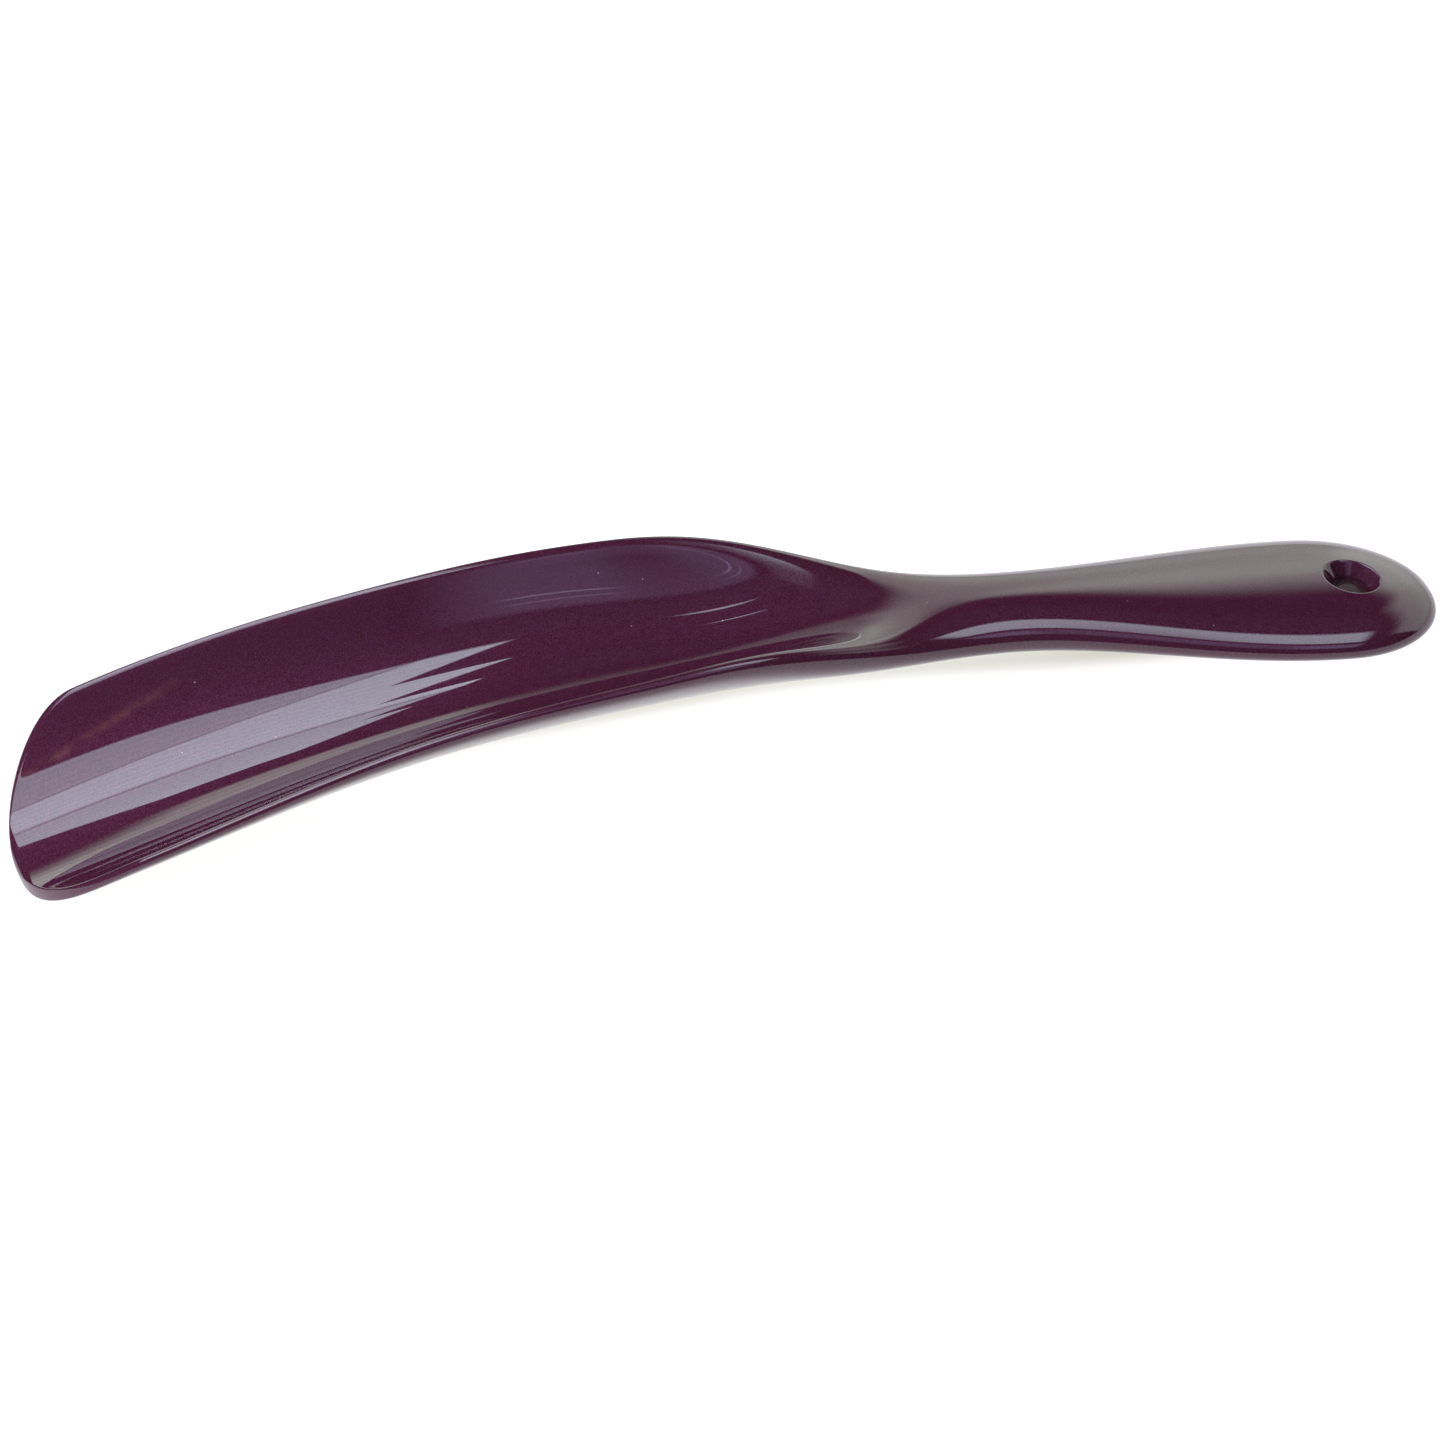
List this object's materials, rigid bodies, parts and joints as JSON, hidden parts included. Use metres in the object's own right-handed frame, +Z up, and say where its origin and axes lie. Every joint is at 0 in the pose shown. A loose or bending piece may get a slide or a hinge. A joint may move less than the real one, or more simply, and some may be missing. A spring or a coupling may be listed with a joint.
{
  "type": "shoehorn",
  "caption": "Shoehorn moulded in one piece: a thin arched blade, hollow side up, runs through a narrow neck into a solid oval grip with a countersunk hanging hole.",
  "frame": {"origin": "on the surface that the shoehorn lies on, under the middle of its outer box", "axes": "+X from the tip of the blade to the end of the grip, +Z up, out of the hollow side of the blade"},
  "size_m": [0.24, 0.0484, 0.029],
  "materials": {
    "plum_lacquer": "gloss metallic plum lacquer with a fine flake, over a moulded body"
  },
  "bodies": {
    "root": {"shoehorn_body": "plum_lacquer"}
  },
  "joints": []
}
